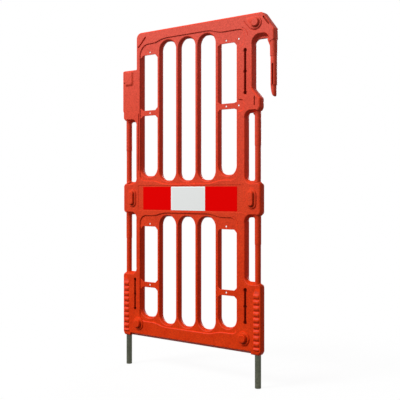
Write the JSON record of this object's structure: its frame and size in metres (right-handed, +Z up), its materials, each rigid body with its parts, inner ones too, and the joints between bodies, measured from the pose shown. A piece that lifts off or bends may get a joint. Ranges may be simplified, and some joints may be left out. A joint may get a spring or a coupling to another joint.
{
  "type": "pedestrian barrier panel",
  "caption": "Tall moulded plastic pedestrian barrier panel with slotted fields, a reflective band, a hanging hinge pin and socket at its sides, and round steel legs.",
  "frame": {"origin": "bottom centre of the panel's box, on the level of the feet of the two legs", "axes": "+X along the panel from the socket side to the pin side, +Y from the front with the reflective band to the back, +Z up"},
  "size_m": [1.088, 0.064, 2],
  "materials": {
    "red_plastic": "satin moulded polyethylene, fine grain",
    "steel_tube": "weathered galvanised tube",
    "red_film": "retroreflective sheeting",
    "white_film": "retroreflective sheeting"
  },
  "bodies": {
    "root": {"top_rail": "red_plastic", "hinge_arm": "red_plastic", "hinge_pin": "red_plastic", "upper_left_stile": "red_plastic", "upper_right_stile": "red_plastic", "hinge_socket": "red_plastic", "right_knuckle": "red_plastic", "mid_band": "red_plastic", "lower_left_stile": "red_plastic", "lower_right_stile": "red_plastic", "bottom_rail": "red_plastic", "left_leg_block": "red_plastic", "right_leg_block": "red_plastic", "upper_bar_1": "red_plastic", "upper_bar_2": "red_plastic", "upper_bar_3": "red_plastic", "upper_bar_4": "red_plastic", "lower_bar_1": "red_plastic", "lower_bar_2": "red_plastic", "lower_bar_3": "red_plastic", "lower_bar_4": "red_plastic", "upper_left_column": "red_plastic", "upper_right_column": "red_plastic", "lower_left_column": "red_plastic", "lower_right_column": "red_plastic", "upper_left_web": "red_plastic", "upper_right_web": "red_plastic", "lower_left_web": "red_plastic", "lower_right_web": "red_plastic", "upper_left_tie_plate": "red_plastic", "upper_right_tie_plate": "red_plastic", "lower_left_tie_plate": "red_plastic", "lower_right_tie_plate": "red_plastic", "top_lug": "red_plastic", "mid_left_lug": "red_plastic", "mid_right_lug": "red_plastic", "bottom_left_lug": "red_plastic", "bottom_right_lug": "red_plastic", "left_leg": "steel_tube", "right_leg": "steel_tube", "left_red_film": "red_film", "white_film": "white_film", "right_red_film": "red_film"}
  },
  "joints": []
}
